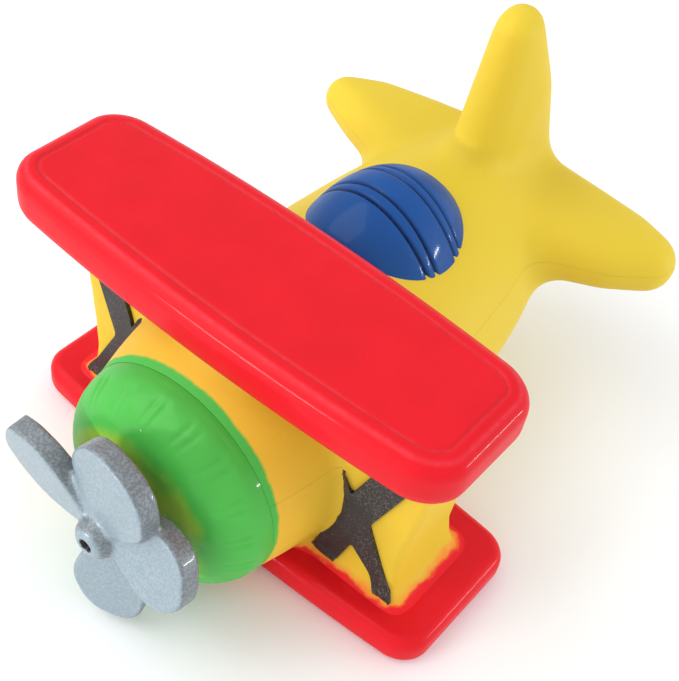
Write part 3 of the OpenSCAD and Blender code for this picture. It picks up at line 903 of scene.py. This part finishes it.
def cross_brace(side):
    """The outline, cut into a fine grid, laid on the block's face and given thickness."""
    bm = bmesh.new()
    outline = bm.faces.new([bm.verts.new((bx, -30, bz)) for bx, bz in BRACE_OUTLINE])
    bmesh.ops.bevel(bm, geom=outline.verts[:], affect="VERTICES", offset=0.7, segments=4, profile=0.5,
                    material=-1)
    for k in range(1, 70):
        slice_mesh(bm, (k * BRACE_GRID, 0, 0), (1, 0, 0))
        slice_mesh(bm, (0, 0, k * BRACE_GRID + 4), (0, 0, 1))
    bmesh.ops.triangulate(bm, faces=[f for f in bm.faces if len(f.verts) > 4])
    away = bm.verts.layers.float_vector.new("away")
    for v in bm.verts:
        v.co.x *= side
        place, facing = skin_tree.ray_cast(Vector((v.co.x, -30, v.co.z)), Vector((0, 1, 0)))[:2]
        on_block = place and place.y > BLOCK_FRONT - 0.9
        v.co.y = place.y if on_block else BLOCK_FRONT
        v[away] = facing if on_block else Vector((0, -1, 0))
    for _ in range(2):
        bmesh.ops.smooth_vert(bm, verts=bm.verts, factor=0.5, use_axis_y=True)
    grown = bmesh.ops.extrude_face_region(bm, geom=bm.faces[:])["geom"]
    front = {g for g in grown if isinstance(g, bmesh.types.BMVert)}
    for v in bm.verts:
        v.co += v[away] * (BRACE_PROUD if v in front else -BRACE_SUNK)
    outward(bm)
    return bm


for side, name in ((1, "port"), (-1, "starboard")):
    finish_piece(cross_brace(side), f"{name}_brace_casting", [f"cross_brace_{name}"], black)

# %% [markdown]
# ## The propeller
#
# The propeller is one thick casting: four paddle blades, each set at a pitch, growing
# from a bullet-shaped boss with a hole in its tip. The blades are flat paddles with
# rounded edges. They and the boss are merged in the same way as the yellow skin, with a
# much finer voxel. A "front" value is stored on the points, 1 where the surface faces
# forward, where the paint is painted lighter as painted light; elsewhere it is painted
# darker as painted shade. A "hole" value marks the hole, which is painted black as
# painted shade. The blades differ a little in direction, pitch and size.

# %% Blade and boss
PROP_R = (prop_high.x - prop_low.x) / 2
# Each blade: its direction from +X towards +Z and its pitch, in degrees, then its length
# and its width as shares of a full blade.
BLADES = [(162, 9, 1.03, 0.8), (80, 6, 0.93, 0.94), (13, 12, 0.86, 0.86), (-84, 18, 0.98, 0.72)]
BLADE_THICK = 3.6
BLADE_PLANE = -37.8
BOSS_R = 3.5
BOSS_FRONT = prop_low.y
BOSS_BACK = -33.0
HOLE_R = 1.1


def paddle(bm, length, width):
    """One blade along +Z, flat in the XZ plane, with rounded edges."""
    upright = Matrix.Rotation(math.pi / 2, 4, "X")
    made = bmesh.ops.create_circle(bm, cap_ends=True, segments=64, radius=1, matrix=upright)["verts"]
    for v in made:
        reach = (v.co.z + 1) / 2
        full = 1 - (1 - min(1.0, reach / 0.62)) ** 1.6
        squared = math.copysign(abs(v.co.x) ** 0.72, v.co.x)
        v.co = Vector((squared * (2.0 + 6.8 * full) * width, 0, 1.0 + (PROP_R * length - 1.0) * reach))
    disc = made[0].link_faces[0]
    grown = bmesh.ops.extrude_face_region(bm, geom=[disc])["geom"]
    moved = [g for g in grown if isinstance(g, bmesh.types.BMVert)]
    bmesh.ops.translate(bm, vec=(0, BLADE_THICK / 2, 0), verts=moved)
    bmesh.ops.translate(bm, vec=(0, -BLADE_THICK / 2, 0), verts=made)
    return made + moved


def turned_boss(bm):
    """The bullet-shaped boss, spun about the propeller axis."""
    points = [(0.0, BOSS_BACK), (BOSS_R, BOSS_BACK)]
    for k in range(13):
        a = math.pi / 2 * k / 12
        points.append((HOLE_R + (BOSS_R - HOLE_R) * math.cos(a), BOSS_FRONT + 2.4 * (1 - math.sin(a))))
    points += [(HOLE_R, BOSS_FRONT + 1.8), (0.0, BOSS_FRONT + 1.8)]
    chain = [bm.verts.new((r, along, AXIS_Z)) for r, along in points]
    wire = [bm.edges.new(pair) for pair in zip(chain, chain[1:])]
    bmesh.ops.spin(bm, geom=chain + wire, cent=(0, 0, AXIS_Z), axis=(0, 1, 0), angle=math.tau,
                   steps=64, use_merge=True)


def make_propeller():
    bm = bmesh.new()
    for direction, pitch, length, width in BLADES:
        blade = bmesh.new()
        verts = paddle(blade, length, width)
        lift = Matrix.Translation((0, BLADE_PLANE, AXIS_Z))
        around = Matrix.Rotation(math.radians(90 - direction), 4, "Y")
        pitched = Matrix.Rotation(math.radians(-pitch), 4, "Z")
        bmesh.ops.transform(blade, matrix=lift @ around @ pitched, verts=verts)
        outward(blade)
        copy = bpy.data.meshes.new("blade")
        blade.to_mesh(copy)
        blade.free()
        bm.from_mesh(copy)
        bpy.data.meshes.remove(copy)
    turned_boss(bm)
    outward(bm)
    return bm


# %% Merge the propeller
propeller = merge_forms(make_propeller(), 0.28, lambda co: 0.6, 3)
for v in propeller.verts:
    out = Vector((v.co.x, 0, v.co.z - AXIS_Z))
    if out.length > PROP_R:
        v.co -= out.normalized() * (out.length - PROP_R)
    v.co.y = max(v.co.y, prop_low.y)
propeller.normal_update()
lit_front_share = propeller.verts.layers.float.new("front")
hole_shade = propeller.verts.layers.float.new("hole")
# Forward faces get the lighter colour as painted light, the rest the darker rim colour as painted shade.
for v in propeller.verts:
    v[lit_front_share] = min(1.0, max(0.0, (-v.normal.y - 0.62) / 0.25))
    # Points inside the hole are marked to be painted black as painted shade.
    deep = math.hypot(v.co.x, v.co.z - AXIS_Z) < HOLE_R + 0.12 and v.co.y < BOSS_FRONT + 2
    v[hole_shade] = 1.0 if deep else 0.0
finish_piece(propeller, "propeller_casting", ["propeller"], prop_paint, body="propeller")

# %% [markdown]
# ## Pieces that keep their engineering shape
#
# The pin, bush, retainer, plugs and squeaker are turned parts whose shape is already
# right. They only need their materials.

# %% Materials for the carried-over nodes
PLAIN = {
    steel: ["propeller_axle", "axle_retainer", "squeaker_reed"],
    white: ["axle_bush", "upper_wing_dowels", "lower_wing_dowels", "squeaker_housing", "squeaker_cap"],
    yellow: ["nose_bulkhead"],
}
for material, nodes in PLAIN.items():
    for node in nodes:
        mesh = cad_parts[node].data
        mesh.materials.clear()
        mesh.materials.append(material)
        print(node, "->", material.name)

# %% [markdown]
# ## Floor and light
#
# A plain pale floor and soft studio light: one large key above and ahead to starboard, an
# even pale sky, and two narrow panels that give the glossy paint its fine highlights.

# %% Floor
floor_mesh = bmesh.new()
bmesh.ops.create_grid(floor_mesh, x_segments=1, y_segments=1, size=3)
floor = to_object(floor_mesh, "floor")
floor_paint, tree, shader, place = new_material("floor_paper", roughness=0.9)
paper = add_noise(tree, place, 40.0)
tree.links.new(add_mix(tree, paper, (0.90, 0.92, 0.95), (0.92, 0.94, 0.97)), shader.inputs["Base Color"])
floor.data.materials.append(floor_paint)

# %% Lights
def panel_light(name, place, aim, size, power):
    data = bpy.data.lights.new(name, "AREA")
    data.shape = "RECTANGLE"
    data.size = size[0]
    data.size_y = size[1]
    data.energy = power
    light = bpy.data.objects.new(name, data)
    light.location = place
    light.rotation_euler = (Vector(aim) - Vector(place)).to_track_quat("-Z", "Y").to_euler()
    bpy.context.collection.objects.link(light)
    return light


panel_light("key", (-0.55, -0.45, 0.8), (0, 0, 0.03), (0.9, 0.9), 5)
panel_light("front_strip", (-0.36, -0.92, 0.2), (0, 0, 0.05), (0.3, 0.02), 3)
panel_light("port_strip", (0.82, 0.55, 0.12), (0, 0, 0.05), (0.3, 0.02), 2.5)

world = bpy.data.worlds.new("studio")
world.use_nodes = True
world.node_tree.nodes["Background"].inputs["Color"].default_value = (1, 1, 1, 1)
world.node_tree.nodes["Background"].inputs["Strength"].default_value = 0.95
bpy.context.scene.world = world
bpy.context.scene.view_settings.view_transform = "Standard"
